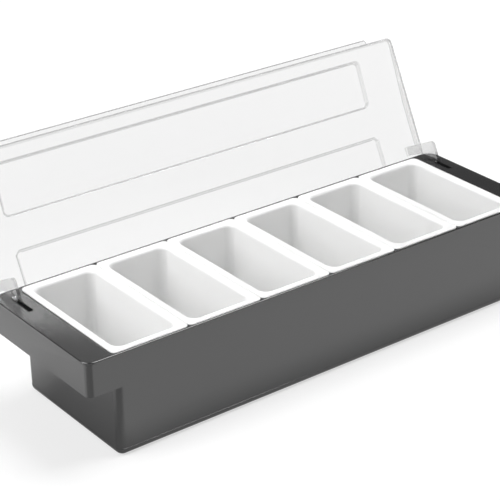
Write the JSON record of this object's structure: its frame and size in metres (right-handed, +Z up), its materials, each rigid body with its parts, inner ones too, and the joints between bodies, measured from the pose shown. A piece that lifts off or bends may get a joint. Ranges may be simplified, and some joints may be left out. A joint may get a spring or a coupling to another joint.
{
  "type": "condiment caddy",
  "caption": "Long base with a row of lift-out pans over an ice space, and a clear full-length lid that flips back on gooseneck legs through slots in the deck.",
  "frame": {"origin": "middle of the underside of the base, on the surface that the caddy stands on", "axes": "+X along the caddy to the right as seen from the front, +Y from the front to the back where the lid is hinged, +Z up"},
  "size_m": [0.5024, 0.2145, 0.2022],
  "materials": {
    "base": "fine matte moulded",
    "pan": "smooth satin to gloss white",
    "lid": "clear and glossy, see-through"
  },
  "bodies": {
    "base": {"base": "base"},
    "pan_1": {"pan_1": "pan"},
    "pan_2": {"pan_2": "pan"},
    "pan_3": {"pan_3": "pan"},
    "pan_4": {"pan_4": "pan"},
    "pan_5": {"pan_5": "pan"},
    "pan_6": {"pan_6": "pan"},
    "lid": {"lid": "lid"}
  },
  "joints": [
    {"name": "lid_hinge", "type": "hinge", "parent": "base", "child": "lid", "pos_m": [0, 0.06245, 0.0843], "axis": [-1, 0, 0], "range_deg": [-117.4, 0]},
    {"name": "pan_1_lift", "type": "slide", "parent": "base", "child": "pan_1", "axis": [0, 0, 1], "range_m": [0, 0.085]},
    {"name": "pan_2_lift", "type": "slide", "parent": "base", "child": "pan_2", "axis": [0, 0, 1], "range_m": [0, 0.085]},
    {"name": "pan_3_lift", "type": "slide", "parent": "base", "child": "pan_3", "axis": [0, 0, 1], "range_m": [0, 0.085]},
    {"name": "pan_4_lift", "type": "slide", "parent": "base", "child": "pan_4", "axis": [0, 0, 1], "range_m": [0, 0.085]},
    {"name": "pan_5_lift", "type": "slide", "parent": "base", "child": "pan_5", "axis": [0, 0, 1], "range_m": [0, 0.085]},
    {"name": "pan_6_lift", "type": "slide", "parent": "base", "child": "pan_6", "axis": [0, 0, 1], "range_m": [0, 0.085]}
  ]
}
